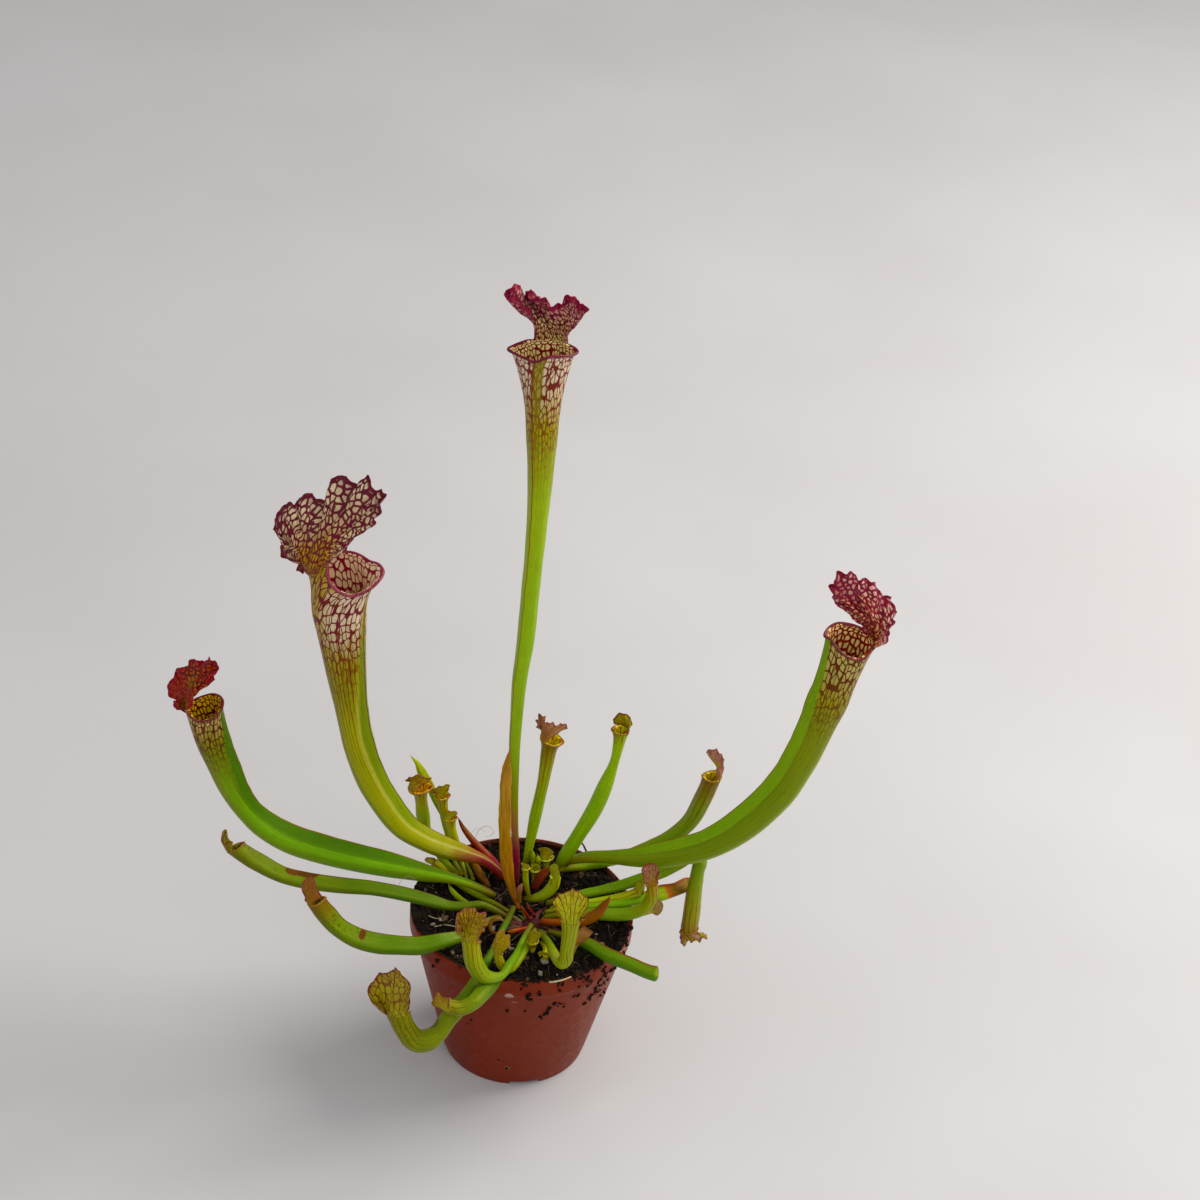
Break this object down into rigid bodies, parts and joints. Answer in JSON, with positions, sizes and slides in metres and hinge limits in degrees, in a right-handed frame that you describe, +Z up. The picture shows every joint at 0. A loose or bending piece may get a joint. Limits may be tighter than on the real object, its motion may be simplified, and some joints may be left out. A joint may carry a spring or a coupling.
{
  "type": "potted pitcher plant",
  "caption": "Trumpet pitcher plant with tall hooded pitchers and flat leaves, growing from peat in a round tapered plastic nursery pot.",
  "frame": {"origin": "centre of the pot's underside", "axes": "+Z up along the pot's axis, +X to the viewer's right and +Y away from the viewer as in the picture"},
  "size_m": [0.2772, 0.1184, 0.3332],
  "materials": {
    "pot_plastic": "matt terracotta-brown moulded plastic, lightly scuffed",
    "peat": "dark crumbly peat with bark and grit",
    "crown": "dark red rhizome",
    "leaf_green": "satin living leaf, green with maroon veins and pale windows near the mouth",
    "leaf_yellow_green": "satin living leaf, yellow green",
    "leaf_red": "satin living leaf, red",
    "leaf_dead": "dry brown leaf",
    "leaf_papery": "dry papery tan leaf"
  },
  "bodies": {
    "root": {"pot": "pot_plastic", "soil": "peat", "crown": "crown", "pitcher_center_tall": "leaf_green", "pitcher_left_tall": "leaf_green", "pitcher_left_far": "leaf_green", "pitcher_right_big": "leaf_green", "leaf_left_mid": "leaf_green", "leaf_left_low": "leaf_green", "pitcher_front_droop": "leaf_green", "pitcher_front_left": "leaf_green", "pitcher_front_over_rim": "leaf_yellow_green", "pitcher_front_small_curl": "leaf_green", "pitcher_front_center": "leaf_green", "leaf_right_cut": "leaf_green", "pitcher_right_hanging": "leaf_green", "leaf_right_dead_tip": "leaf_green", "pitcher_right_upright": "leaf_green", "pitcher_right_short": "leaf_green", "pitcher_right_tan_tip": "leaf_green", "dead_horn_orange": "leaf_dead", "dead_papery_sheath": "leaf_papery", "pitcher_back_center_left": "leaf_yellow_green", "pitcher_back_center_right": "leaf_yellow_green", "pitcher_back_right": "leaf_yellow_green", "pitcher_backleft_flared": "leaf_red", "pitcher_backleft_mid": "leaf_yellow_green", "pitcher_backleft_low": "leaf_yellow_green", "leaf_backleft_pointed": "leaf_yellow_green", "leaf_back_red_pointed": "leaf_red", "dead_sheath_center": "leaf_papery", "dead_blade_backleft": "leaf_dead", "pitcher_left_hidden": "leaf_yellow_green", "thin_blade_left": "leaf_green", "crown_pitcher_flared": "leaf_red", "crown_pitcher_bud_left": "leaf_yellow_green", "crown_bud_round": "leaf_yellow_green", "crown_bud_tiny": "leaf_yellow_green", "crown_pitcher_pale": "leaf_yellow_green", "crown_pitcher_curved": "leaf_yellow_green", "crown_bud_pink": "leaf_red", "dead_leaf_crown": "leaf_dead", "stem_red_left": "leaf_red", "stem_red_back": "leaf_red", "crown_pitcher_front": "leaf_yellow_green", "crown_pitcher_yellow": "leaf_yellow_green", "stub_red_front": "leaf_red", "dead_curl_left": "leaf_dead"}
  },
  "joints": []
}
